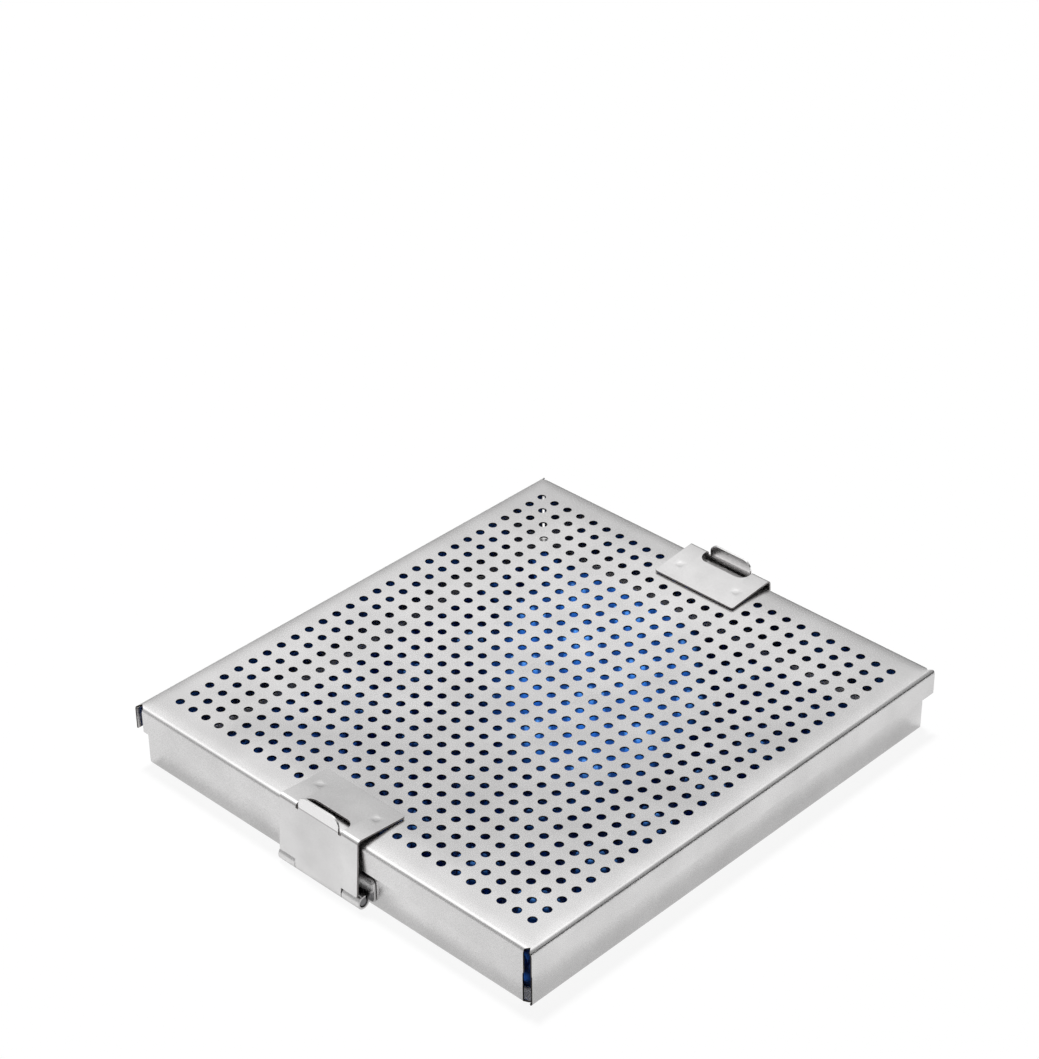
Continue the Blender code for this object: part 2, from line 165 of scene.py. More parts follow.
# Lamps
LEFT_PLACE = (-1.0, -0.6, 1.1)
LEFT_SIZE = 0.9
LEFT_POWER = 0.8
HIGH_AIM = (0.184, -0.096, -1.0)
HIGH_ANGLE = math.radians(8.0)
HIGH_POWER = 2.5
BEAM_TARGET = (0.014, 0.024, CASE_HEIGHT)
BEAM_ANGLE = math.radians(4.5)
BEAM_BLEND = 0.5
BEAM_RADIUS = 0.004
BEAM_POWER = 105.0


# Materials

def colour_of(code):
    """Linear colour of an sRGB hex code."""
    channels = [int(code[place:place + 2], 16) / 255 for place in (1, 3, 5)]
    linear = [c / 12.92 if c <= 0.04045 else ((c + 0.055) / 1.055) ** 2.4 for c in channels]
    return (*linear, 1.0)


def add_node(tree, kind, settings=None, links=None):
    """Add a node, set its properties and its inputs' values, and link its inputs."""
    node = tree.nodes.new(kind)
    for name, value in (settings or {}).items():
        if isinstance(name, int) or name in node.inputs:
            node.inputs[name].default_value = value
        else:
            setattr(node, name, value)
    for name, source in (links or {}).items():
        tree.links.new(source, node.inputs[name])
    return node


def blank_material(name):
    """A material with an empty Principled shader, and its tree."""
    material = bpy.data.materials.new(name)
    material.use_nodes = True
    tree = material.node_tree
    return material, tree, tree.nodes["Principled BSDF"]


def colour_ramp(tree, factor, stops):
    """A ramp through (place, hex colour) stops."""
    node = add_node(tree, "ShaderNodeValToRGB", links={"Fac": factor})
    ramp = node.color_ramp
    while len(ramp.elements) < len(stops):
        ramp.elements.new(0.5)
    for element, (place, code) in zip(ramp.elements, stops):
        element.position = place
        element.color = colour_of(code)
    return node.outputs["Color"]


def satin_stainless_steel(name, grain, dark, mid, light, rough_low, rough_high):
    """Stainless steel sheet, blasted to a satin: a pale warm grey with no mirror, whose fine
    grain shows as a salt and pepper speckle and whose handling shows as faint cloudy patches."""
    material, tree, shader = blank_material(name)
    place = add_node(tree, "ShaderNodeTexCoord").outputs["Object"]
    # Blasting grit leaves pits of about 0.15 mm, drawn at 0.5 mm so that they show
    speckle = add_node(
        tree, "ShaderNodeTexNoise",
        {"Scale": 1 / (0.5 * MM), "Detail": 2.0, "Roughness": 0.6}, {"Vector": place})
    # Wipe marks and handling, patches 25 mm across
    patches = add_node(
        tree, "ShaderNodeTexNoise",
        {"Scale": 1 / (25 * MM), "Detail": 3.0, "Roughness": 0.5}, {"Vector": place})
    mixed = add_node(
        tree, "ShaderNodeMix", {"data_type": "FLOAT", "Factor": grain},
        {"A": patches.outputs["Fac"], "B": speckle.outputs["Fac"]})
    shade = colour_ramp(
        tree, mixed.outputs["Result"], ((0.3, dark), (0.5, mid), (0.7, light)))
    tree.links.new(shade, shader.inputs["Base Color"])
    rough = add_node(
        tree, "ShaderNodeMapRange", {"To Min": rough_low, "To Max": rough_high},
        {"Value": speckle.outputs["Fac"]})
    tree.links.new(rough.outputs["Result"], shader.inputs["Roughness"])
    bump = add_node(
        tree, "ShaderNodeBump", {"Strength": 0.15, "Distance": 0.02 * MM},
        {"Height": speckle.outputs["Fac"]})
    tree.links.new(bump.outputs["Normal"], shader.inputs["Normal"])
    shader.inputs["Metallic"].default_value = 1.0
    return material


def paint_flap_highlight_and_root_shade(material):
    """Paint a latch's flap and the outer top of its fold brighter, a painted highlight, and a grey
    line across the leg at the flap's root, painted shade."""
    tree = material.node_tree
    shader = tree.nodes["Principled BSDF"]
    shade = shader.inputs["Base Color"].links[0].from_socket
    place = add_node(tree, "ShaderNodeTexCoord").outputs["Object"]
    parts = add_node(tree, "ShaderNodeSeparateXYZ", links={"Vector": place})
    outward = add_node(
        tree, "ShaderNodeMath", {"operation": "ABSOLUTE"}, {0: parts.outputs["Y"]})
    on_leg = add_node(
        tree, "ShaderNodeMapRange",
        {"From Min": FLAP_PLANE - FLAP_BLEND, "From Max": FLAP_PLANE},
        {"Value": outward.outputs[0]})
    above = add_node(
        tree, "ShaderNodeMapRange",
        {"From Min": FLAP_ROOT, "From Max": FLAP_ROOT + ROOT_BLEND},
        {"Value": parts.outputs["Z"]})
    # Painted highlight: the flap and the outer top of its fold, above the root, are mixed towards
    # near white
    painted_highlight_mask = add_node(
        tree, "ShaderNodeMath", {"operation": "MULTIPLY"},
        {0: on_leg.outputs["Result"], 1: above.outputs["Result"]})
    bright = add_node(
        tree, "ShaderNodeMix", {"data_type": "RGBA", 7: colour_of("#F0EFEF")},
        {0: painted_highlight_mask.outputs[0], 6: shade})
    # Painted shade: a grey line across the leg at the height of the flap's root
    root_shade_band = add_node(
        tree, "ShaderNodeMath", {"operation": "COMPARE", 1: FLAP_ROOT, 2: ROOT_LINE},
        {0: parts.outputs["Z"]})
    line = add_node(
        tree, "ShaderNodeMath", {"operation": "MULTIPLY"},
        {0: on_leg.outputs["Result"], 1: root_shade_band.outputs[0]})
    lined = add_node(
        tree, "ShaderNodeMix", {"data_type": "RGBA", 7: colour_of("#B9B7B7")},
        {0: line.outputs[0], 6: bright.outputs[2]})
    tree.links.new(lined.outputs[2], shader.inputs["Base Color"])
    return material


def cut_steel_edge(name, dark, light):
    """The cut edge of stainless sheet, punched or sheared: dull, with short burnish streaks across
    the sheet's thickness, and darkened by painted shade so that holes and gaps look shadowed."""
    material, tree, shader = blank_material(name)
    place = add_node(tree, "ShaderNodeTexCoord").outputs["Object"]
    # Burnish streaks about 0.4 mm apart
    streaks = add_node(
        tree, "ShaderNodeTexNoise", {"Scale": 1 / (0.4 * MM), "Detail": 2.0}, {"Vector": place})
    shade = colour_ramp(
        tree, streaks.outputs["Fac"], ((0.3, dark), (0.7, light)))
    tree.links.new(shade, shader.inputs["Base Color"])
    shader.inputs["Metallic"].default_value = 1.0
    shader.inputs["Roughness"].default_value = 0.55
    return material


def drawn_steel_rod():
    """Stainless steel rod, drawn and cut: darker than the sheet, with fine rings round it."""
    material, tree, shader = blank_material("drawn_steel_rod")
    place = add_node(tree, "ShaderNodeTexCoord").outputs["Object"]
    rings = add_node(
        tree, "ShaderNodeTexWave",
        {"bands_direction": "X", "Scale": 1 / (6 * MM), "Distortion": 1.5, "Detail": 2.0},
        {"Vector": place})
    shade = colour_ramp(tree, rings.outputs["Fac"], ((0.0, "#6C6C6E"), (1.0, "#8A8A8C")))
    tree.links.new(shade, shader.inputs["Base Color"])
    shader.inputs["Metallic"].default_value = 1.0
    shader.inputs["Roughness"].default_value = 0.38
    return material


def moulded_blue_silicone():
    """Silicone rubber, moulded: a saturated blue with a soft sheen and a faint haze of dust from
    handling. It is painted darker towards the base as shade between the fingers and paler at the
    tips as painted light."""
    material, tree, shader = blank_material("moulded_silicone")
    place = add_node(tree, "ShaderNodeTexCoord").outputs["Object"]
    height = add_node(tree, "ShaderNodeSeparateXYZ", links={"Vector": place})
    # Painted shade and light: the colour follows the height, dark at the mat's base and pale at
    # the finger tips
    level = add_node(
        tree, "ShaderNodeMapRange",
        {"From Min": MAT_TOP, "From Max": FINGER_TIPS}, {"Value": height.outputs["Z"]})
    haze = add_node(
        tree, "ShaderNodeTexNoise", {"Scale": 1 / (18 * MM), "Detail": 4.0}, {"Vector": place})
    blend = add_node(
        tree, "ShaderNodeMix", {"data_type": "FLOAT", "Factor": 0.16},
        {"A": level.outputs["Result"], "B": haze.outputs["Fac"]})
    shade = colour_ramp(
        tree, blend.outputs["Result"],
        ((0.0, "#16458F"), (0.6, "#2863B6"), (1.0, "#4A86D2")))
    tree.links.new(shade, shader.inputs["Base Color"])
    shader.inputs["Roughness"].default_value = 0.42
    shader.inputs["IOR"].default_value = 1.41
    fine = add_node(
        tree, "ShaderNodeTexNoise", {"Scale": 1 / (0.6 * MM), "Detail": 2.0}, {"Vector": place})
    bump = add_node(
        tree, "ShaderNodeBump", {"Strength": 0.2, "Distance": 0.03 * MM},
        {"Height": fine.outputs["Fac"]})
    tree.links.new(bump.outputs["Normal"], shader.inputs["Normal"])
    return material


# Piece making

def finish_piece(name, bm, material, body, node):
    """Make the object, put it on its body and let it stand for its CAD node."""
    mesh = bpy.data.meshes.new(name)
    bm.to_mesh(mesh)
    bm.free()
    mesh.materials.append(material)
    mesh.shade_smooth()
    piece = bpy.data.objects.new(name, mesh)
    bpy.context.scene.collection.objects.link(piece)
    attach(piece, body)
    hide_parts(node)
    return piece


def give_thickness(piece, thickness, edge, painted_edge_shade_below=math.inf):
    """Thicken a folded blank inward, its cut edges below a height in the darker edge material as
    painted shade, and shade its folds smooth and its edges sharp."""
    modifier = piece.modifiers.new("sheet", "SOLIDIFY")
    modifier.thickness = thickness
    modifier.offset = -1.0
    modifier.use_even_offset = True
    modifier.material_offset_rim = 1
    piece.data.materials.append(edge)
    thick = piece.evaluated_get(bpy.context.evaluated_depsgraph_get())
    solid = bpy.data.meshes.new_from_object(thick)
    piece.modifiers.clear()
    piece.data = solid
    # Edges above the height keep the sheet's colour, without the painted shade
    for face in solid.polygons:
        if face.center.z > painted_edge_shade_below:
            face.material_index = 0
    solid.shade_smooth()
    solid.set_sharp_from_angle(angle=SHARP_ANGLE)


def break_edges(piece, width):
    """Take the bite off the cut edges, as tumbling does."""
    modifier = piece.modifiers.new("broken edges", "BEVEL")
    modifier.width = width
    modifier.segments = EDGE_STEPS
    modifier.limit_method = "ANGLE"
    modifier.angle_limit = SHARP_ANGLE
    modifier.harden_normals = True


def row_of_copies(bm, step, count):
    """Repeat everything in the mesh along a step."""
    source = list(bm.verts) + list(bm.edges) + list(bm.faces)
    for index in range(1, count):
        copy = bmesh.ops.duplicate(bm, geom=source)["geom"]
        verts = [item for item in copy if isinstance(item, bmesh.types.BMVert)]
        bmesh.ops.translate(bm, verts=verts, vec=[part * index for part in step])


def grow_edges(bm, edges):
    """Extrude edges and return the new vertices and edges."""
    grown = bmesh.ops.extrude_edge_only(bm, edges=edges)["geom"]
    verts = [item for item in grown if isinstance(item, bmesh.types.BMVert)]
    new_edges = [item for item in grown if isinstance(item, bmesh.types.BMEdge)
                 and item.is_boundary and all(vert in verts for vert in item.verts)]
    return verts, new_edges


def punched_field():
    """A flat field of 9 mm squares, each with a round hole in it, centred on the origin."""
    bm = bmesh.new()
    bmesh.ops.create_circle(bm, segments=HOLE_SIDES, radius=HOLE_RADIUS)
    verts, _ = grow_edges(bm, list(bm.edges))
    for vert in verts:
        longest = max(abs(vert.co.x), abs(vert.co.y))
        vert.co *= HOLE_PITCH / 2 / longest
    bmesh.ops.translate(
        bm, verts=bm.verts,
        vec=((1 - HOLE_COLUMNS) / 2 * HOLE_PITCH, (1 - HOLE_ROWS) / 2 * HOLE_PITCH, 0))
    row_of_copies(bm, (HOLE_PITCH, 0, 0), HOLE_COLUMNS)
    row_of_copies(bm, (0, HOLE_PITCH, 0), HOLE_ROWS)
    bmesh.ops.remove_doubles(bm, verts=bm.verts, dist=SAME_PLACE)
    return bm


def outer_edges(bm, axis, side):
    """The edges along one straight side of a flat mesh."""
    reach = max(side * vert.co[axis] for vert in bm.verts)
    return [edge for edge in bm.edges if edge.is_boundary
            and all(side * vert.co[axis] > reach - SAME_PLACE for vert in edge.verts)]


def widen(bm, axis, reaches):
    """Grow both sides of a flat mesh along an axis, out to each reach in turn."""
    for reach in reaches:
        for side in (-1, 1):
            verts, _ = grow_edges(bm, outer_edges(bm, axis, side))
            for vert in verts:
                vert.co[axis] = side * reach


def fold_side(bm, edges, axis, side, steps, ends):
    """Grow one side through (outward, up) steps, each from where the last one ended. Over the
    first steps the side's low and high end slide to their places along the other axis."""
    along = 1 - axis
    field = (HOLE_COLUMNS, HOLE_ROWS)[along] * HOLE_PITCH / 2
    for index, (outward, up) in enumerate(steps):
        verts, edges = grow_edges(bm, edges)
        for vert in verts:
            vert.co[axis] += side * outward
            vert.co.z += up
        for way, end in zip((-1, 1), ends):
            past = [vert for vert in verts if way * vert.co[along] > field + SAME_PLACE]
            reach = max(way * vert.co[along] for vert in past)
            slide = (way * end * MM - reach) / max(1, FOLD_END_STEPS - index)
            for vert in past:
                share = (way * vert.co[along] - field) / (reach - field)
                vert.co[along] += way * slide * share
    return edges


def fold_steps(radius, up, flat, wall):
    """The steps of a rounded fold after a flat strip, and the wall that follows it."""
    steps = [(flat, 0.0)] if flat else []
    turn = math.pi / 2 / FOLD_STEPS
    for index in range(FOLD_STEPS):
        outward = radius * (math.sin(turn * (index + 1)) - math.sin(turn * index))
        rise = radius * (math.cos(turn * index) - math.cos(turn * (index + 1)))
        steps.append((outward, up * rise))
    return [*steps, (0.0, up * (wall - radius))]


def face_towards(bm, normal):
    """Turn all faces alike, so that the one nearest the middle faces the given way."""
    bmesh.ops.recalc_face_normals(bm, faces=bm.faces)
    bm.normal_update()
    middle = min(bm.faces, key=lambda face: face.calc_center_median().length)
    if middle.normal.dot(Vector(normal)) < 0:
        bmesh.ops.reverse_faces(bm, faces=bm.faces)


def soft_step(value):
    """The positive part of a value, with a rounded start."""
    return (value + math.hypot(value, DISH_SOFTNESS)) / 2


def panel_drop(x, y):
    """How far the lid's panel lies under its top plane."""
    across = soft_step(1 - (x / DISH_REACH[0]) ** 2)
    along = soft_step(1 - (y / DISH_REACH[1]) ** 2)
    margin = min(LID_HALF[0] - abs(x), LID_HALF[1] - abs(y)) / MM
    fall = 0.0
    for (near, low), (far, high) in zip(EDGE_FALL, EDGE_FALL[1:]):
        if near <= margin < far:
            fall = low + (high - low) * (margin - near) / (far - near)
    if margin < EDGE_FALL[0][0]:
        fall = EDGE_FALL[0][1]
    return DISH_DEPTH * across * along + fall * MM


def make_lid(material):
    """The lid: a punched panel, dished inside its rim, with four skirts folded down."""
    bm = punched_field()
    flat = [half - LID_FOLD_RADIUS for half in LID_HALF]
    for axis in (0, 1):
        start = (HOLE_COLUMNS, HOLE_ROWS)[axis] * HOLE_PITCH / 2
        widen(bm, axis, [start + (flat[axis] - start) * line / PANEL_LINES
                         for line in range(1, PANEL_LINES + 1)])
    folds = [(axis, side, outer_edges(bm, axis, side)) for axis in (0, 1) for side in (-1, 1)]
    for vert in bm.verts:
        vert.co.z = CASE_HEIGHT - panel_drop(vert.co.x, vert.co.y)
    for (axis, side, edges), ends in zip(folds, LID_ENDS):
        last = fold_side(
            bm, edges, axis, side, fold_steps(LID_FOLD_RADIUS, -1, 0.0, LID_SKIRT), ends)
        for edge in last:
            for vert in edge.verts:
                vert.co.z = CASE_HEIGHT - LID_SKIRT
    bmesh.ops.recalc_face_normals(bm, faces=bm.faces)
    bm.normal_update()
    if max(bm.faces, key=lambda face: abs(face.normal.z)).normal.z < 0:
        bmesh.ops.reverse_faces(bm, faces=bm.faces)
    lid = finish_piece("lid_sheet", bm, material, "lid", "lid")
    give_thickness(lid, SHEET, PUNCHED_EDGE)
    return lid


def make_tray(material):
    """The base tray: a punched floor and four walls folded up, open at the corners."""
    bm = punched_field()
    flat = [half - TRAY_SLIT for half in TRAY_HALF]
    for axis in (0, 1):
        widen(bm, axis, [flat[axis]])
    folds = [(axis, side, outer_edges(bm, axis, side)) for axis in (0, 1) for side in (-1, 1)]
    for (axis, side, edges), ends in zip(folds, TRAY_ENDS):
        fold_side(bm, edges, axis, side, fold_steps(
            TRAY_FOLD_RADIUS, 1, TRAY_SLIT - TRAY_FOLD_RADIUS, TRAY_HEIGHT), ends)
    bmesh.ops.recalc_face_normals(bm, faces=bm.faces)
    bm.normal_update()
    if max(bm.faces, key=lambda face: abs(face.normal.z)).normal.z > 0:
        bmesh.ops.reverse_faces(bm, faces=bm.faces)
    tray = finish_piece("tray_pan", bm, material, "tray", "base_tray")
    give_thickness(tray, SHEET, PUNCHED_EDGE)
    return tray


def make_mat(material):
    """The silicone mat: a thin base with rows of round, tapered fingers."""
    bm = bmesh.new()
    bmesh.ops.create_circle(
        bm, cap_ends=True, segments=FINGER_SIDES, radius=FINGER_PROFILE[0][0] * MM)
    top = list(bm.faces)[0]
    for radius, height in FINGER_PROFILE[1:]:
        bmesh.ops.inset_individual(bm, faces=[top], thickness=FINGER_INSET, depth=0.0)
        for vert in top.verts:
            flat = Vector((vert.co.x, vert.co.y, 0)).normalized()
            vert.co = (flat.x * radius * MM, flat.y * radius * MM, height * MM)
    bmesh.ops.translate(bm, verts=bm.verts, vec=(
        (1 - FINGER_COLUMNS) / 2 * FINGER_PITCH, (1 - FINGER_ROWS) / 2 * FINGER_PITCH,
        MAT_TOP))
    row_of_copies(bm, (FINGER_PITCH, 0, 0), FINGER_COLUMNS)
    row_of_copies(bm, (0, FINGER_PITCH, 0), FINGER_ROWS)
    before = set(bm.verts)
    bmesh.ops.create_cube(bm, size=1.0)
    slab = [vert for vert in bm.verts if vert not in before]
    for vert in slab:
        vert.co.x = math.copysign(MAT_HALF[0], vert.co.x)
        vert.co.y = math.copysign(MAT_HALF[1], vert.co.y)
        vert.co.z = MAT_TOP if vert.co.z > 0 else MAT_TOP - MAT_BASE
    uprights = [edge for edge in bm.edges if edge.verts[0] in slab
                and abs(edge.verts[0].co.z - edge.verts[1].co.z) > SAME_PLACE]
    bmesh.ops.bevel(
        bm, geom=uprights, offset=MAT_CORNER, segments=CORNER_STEPS, profile=0.5,
        affect="EDGES", material=-1)
    bmesh.ops.recalc_face_normals(bm, faces=bm.faces)
    mat = finish_piece("finger_mat", bm, material, "tray", "silicone_mat")
    mat.data.set_sharp_from_angle(angle=MAT_SHARP_ANGLE)
    return mat


# Hinges and latches

def arc_points(centre, radius, start, end, steps):
    """Points along an arc in the YZ plane, angles in degrees."""
    points = []
    for index in range(steps + 1):
        angle = math.radians(start + (end - start) * index / steps)
        points.append(Vector(centre) + Vector((math.cos(angle), math.sin(angle))) * radius)
    return points


def lengths_along(path):
    """The length from the path's start to each of its points."""
    lengths = [0.0]
    for first, second in zip(path, path[1:]):
        lengths.append(lengths[-1] + (second - first).length)
    return lengths


def cut_blank(outline, rounded):
    """A flat half blank from its outline of (x, length) points, its corners rounded."""
    bm = bmesh.new()
    corners = [bm.verts.new((x, along, 0)) for x, along in outline]
    bm.faces.new(corners)
    for index, radius in rounded.items():
        bmesh.ops.bevel(
            bm, geom=[corners[index]], offset=radius, segments=CORNER_STEPS, profile=0.5,
            affect="VERTICES", material=-1)
    return bm


def open_out(bm):
    """Mirror a half blank about its middle line and let its faces look up."""
    bmesh.ops.mirror(
        bm, geom=list(bm.verts) + list(bm.edges) + list(bm.faces),
        matrix=Matrix.Identity(4), merge_dist=SAME_PLACE, axis="X")
    bmesh.ops.remove_doubles(bm, verts=bm.verts, dist=SAME_PLACE)
    face_towards(bm, (0, 0, 1))


def score_lines(bm, lengths):
    """Cut the blank across at each bend line."""
    for length in lengths:
        bmesh.ops.bisect_plane(
            bm, geom=list(bm.verts) + list(bm.edges) + list(bm.faces), dist=SAME_PLACE,
            plane_co=(0, length, 0), plane_no=(0, 1, 0))


def fold_blank(bm, path, stays_flat=None, depth_at=None):
    """Lay a flat blank on its path. What stays_flat picks goes on straight past its bend."""
    lengths = lengths_along(path)
    for vert in bm.verts:
        x, along = vert.co.x, vert.co.y
        held = stays_flat(x, along) if stays_flat else None
        index = max(i for i in range(len(path) - 1) if i == 0 or lengths[i] <= along + SAME_PLACE)
        index = index if held is None else min(index, held)
        direction = (path[index + 1] - path[index]).normalized()
        point = path[index] + direction * (along - lengths[index])
        vert.co = (x, point.x, point.y - (depth_at(x, along) if depth_at else 0.0))


def put_on_hinge(bm, outward):
    """Move a piece from the hinge's own place to the front (-1) or back (1) hinge."""
    if outward > 0:
        half_turn = Matrix.Rotation(math.pi, 3, "Z")
        bmesh.ops.rotate(bm, verts=bm.verts, cent=(0, 0, 0), matrix=half_turn)
    bmesh.ops.translate(bm, verts=bm.verts, vec=(0, outward * HINGE_Y, HINGE_Z))


def press_dimples(bm, tip_along):
    """Mark two round dimples on the tab's flat blank, near its free end."""
    middle = tip_along - DIMPLE_SETBACK
    across, along = (1, 0, 0), (0, 1, 0)
    for side in (-1, 1):
        for point, normal in (
                ((side * DIMPLE_X - DIMPLE_CELL, 0, 0), across),
                ((side * DIMPLE_X + DIMPLE_CELL, 0, 0), across),
                ((0, middle - DIMPLE_CELL, 0), along),
                ((0, middle + DIMPLE_CELL, 0), along)):
            near = [face for face in bm.faces
                    if face.calc_center_median().y > middle - TAB_LENGTH / 2]
            edges = {edge for face in near for edge in face.edges}
            verts = {vert for face in near for vert in face.verts}
            bmesh.ops.bisect_plane(
                bm, geom=[*verts, *edges, *near], dist=SAME_PLACE, plane_co=point, plane_no=normal)
    for side in (-1, 1):
        centre = Vector((side * DIMPLE_X, middle, 0))
        cell = min(bm.faces, key=lambda face: (face.calc_center_median() - centre).length)
        bmesh.ops.inset_individual(bm, faces=[cell], thickness=DIMPLE_CELL / 4, depth=0.0)
        bmesh.ops.bisect_edges(bm, edges=list(cell.edges), cuts=DIMPLE_EDGE_CUTS)
        for share, depth in DIMPLE_PROFILE:
            if depth:
                bmesh.ops.inset_individual(
                    bm, faces=[cell], thickness=DIMPLE_CELL / 12, depth=0.0)
            for vert in cell.verts:
                vert.co = centre + (vert.co - centre).normalized() * DIMPLE_RADIUS * share


def dimple_depth(x, along, tip_along):
    """How deep the blank's dimple goes at a place on the tab."""
    away = math.hypot(abs(x) - DIMPLE_X, along - tip_along + DIMPLE_SETBACK) / DIMPLE_RADIUS
    for (far, shallow), (near, deep) in zip(DIMPLE_PROFILE, DIMPLE_PROFILE[1:]):
        if near < away <= far:
            return (shallow + (deep - shallow) * (far - away) / (far - near)) * MM
    return DIMPLE_PROFILE[-1][1] * MM if away <= DIMPLE_PROFILE[-1][0] else 0.0


def latch_path():
    """The latch's outer face from its curl, up its leg, round its fold, to the tab's end."""
    lid_top = CASE_HEIGHT - HINGE_Z
    tab_top = lid_top + TAB_LIFT + HINGE_SHEET
    tip_top = lid_top + TOUCH_GAP + HINGE_SHEET - TIP_DIP
    lean = math.radians(LEG_LEAN)
    slope = math.degrees(math.atan((tab_top - tip_top) / (TAB_LENGTH - TAB_FOLD_RADIUS)))
    fold_z = tab_top - TAB_FOLD_RADIUS
    fold_y = (TAB_FOLD_RADIUS - KNUCKLE_RADIUS + fold_z * math.sin(lean)) / math.cos(lean)
    leg_y = fold_y - TAB_FOLD_RADIUS / math.cos(lean)
    curl = arc_points((0, 0), KNUCKLE_RADIUS, KNUCKLE_END, -180 - LEG_LEAN, KNUCKLE_STEPS)
    fold = arc_points(
        (fold_y, fold_z), TAB_FOLD_RADIUS, 180 - LEG_LEAN, 90 - slope, TAB_FOLD_STEPS)
    path = [*curl, *fold, Vector((leg_y + TAB_LENGTH, tip_top))]
    return path, tab_top, leg_y, lean


def make_latch(name, material, body, outward):
    """A latch: one blank with a window whose tongue stays up as the finger flap."""
    path, tab_top, leg_y, lean = latch_path()
    lengths = lengths_along(path)
    leg_start, leg_end = KNUCKLE_STEPS, KNUCKLE_STEPS + 1
    tab_start = leg_end + TAB_FOLD_STEPS
    tip = lengths[-1]
    foot = lengths[leg_start] + (KNUCKLE_CUT - path[leg_start].y) / math.cos(lean)
    relief = lengths[leg_end] - FLAP_RELIEF
    far = lengths[tab_start] + leg_y + WINDOW_DEPTH - path[tab_start].x
    flap = lengths[leg_end] + (tab_top + FLAP_RISE - path[leg_end].y) / math.cos(lean)
    outline = [
        (0, far), (WINDOW_HALF, far), (WINDOW_HALF, relief), (FLAP_HALF, relief),
        (FLAP_HALF, flap), (0, flap), (0, 0), (LEG_KNUCKLE_HALF, 0), (LEG_KNUCKLE_HALF, foot),
        (LATCH_HALF, foot), (LATCH_HALF, tip), (0, tip)]
    bm = cut_blank(outline, {
        1: WINDOW_CORNER, 4: FLAP_CORNER, 9: TAB_CORNER, 10: TAB_CORNER})
    open_out(bm)
    score_lines(bm, lengths[1:-1])
    press_dimples(bm, tip)
    top = flap + SAME_PLACE

    def is_flap(x, along):
        inside = abs(x) < FLAP_HALF + SAME_PLACE and lengths[leg_end] < along < top
        beyond = along > flap - FLAP_CORNER / 2 and abs(x) > FLAP_HALF - SAME_PLACE
        return leg_start if inside and not beyond else None

    fold_blank(bm, path, is_flap, lambda x, along: dimple_depth(x, along, tip))
    put_on_hinge(bm, outward)
    latch = finish_piece(f"{name}_latch_sheet", bm, material, body, f"{name}_latch")
    # The latch's cut edges below the flap are painted dark as shade, and the flap's own edges stay
    # bright
    give_thickness(
        latch, HINGE_SHEET, SHEARED_EDGE, CASE_HEIGHT + TAB_LIFT + HINGE_SHEET + TOUCH_GAP)
    break_edges(latch, EDGE_BREAK)
    return latch


def make_bracket(name, material, outward):
    """A hinge bracket: a plate on the wall, curled into a knuckle on each side of the leg."""
    curl = arc_points((0, 0), KNUCKLE_RADIUS, -180 - KNUCKLE_END, 0, KNUCKLE_STEPS)
    path = [*curl, Vector((KNUCKLE_RADIUS, PLATE_TOP))]
    lengths = lengths_along(path)
    level = lengths[-2]
    gap = LEG_KNUCKLE_HALF + TOUCH_GAP
    outline = [
        (0, level + PLATE_TOP), (0, level + KNUCKLE_CUT), (gap, level + KNUCKLE_CUT), (gap, 0),
        (KNUCKLE_SPAN_HALF, 0), (KNUCKLE_SPAN_HALF, level + PLATE_LIP),
        (PLATE_HALF, level + PLATE_LIP), (PLATE_HALF, level + PLATE_TOP)]
    bm = cut_blank(outline, {6: TAB_CORNER, 7: PLATE_CORNER})
    open_out(bm)
    score_lines(bm, lengths[1:-1])
    fold_blank(bm, path)
    bmesh.ops.reverse_faces(bm, faces=bm.faces)
    put_on_hinge(bm, outward)
    bracket = finish_piece(
        f"{name}_bracket_plate", bm, material, "tray", f"{name}_hinge_bracket")
    give_thickness(bracket, HINGE_SHEET, SHEARED_EDGE, 0)
    break_edges(bracket, EDGE_BREAK)
    return bracket


# Light, floor and camera

def make_camera():
    """The camera, where the fit to the lid's holes puts the photograph's."""
    data = bpy.data.cameras.new("photo_camera")
    data.sensor_width = SENSOR
    data.lens = LENS
    data.clip_start = CLIP_START
    camera = bpy.data.objects.new("photo_camera", data)
    bpy.context.scene.collection.objects.link(camera)
    turn = Matrix((CAMERA_RIGHT, CAMERA_UP, CAMERA_BACK)).transposed().to_4x4()
    place = Vector(CAMERA_PLACE) * MM + Vector((0, 0, CASE_HEIGHT))
    camera.matrix_world = Matrix.Translation(place) @ turn
    bpy.context.scene.camera = camera


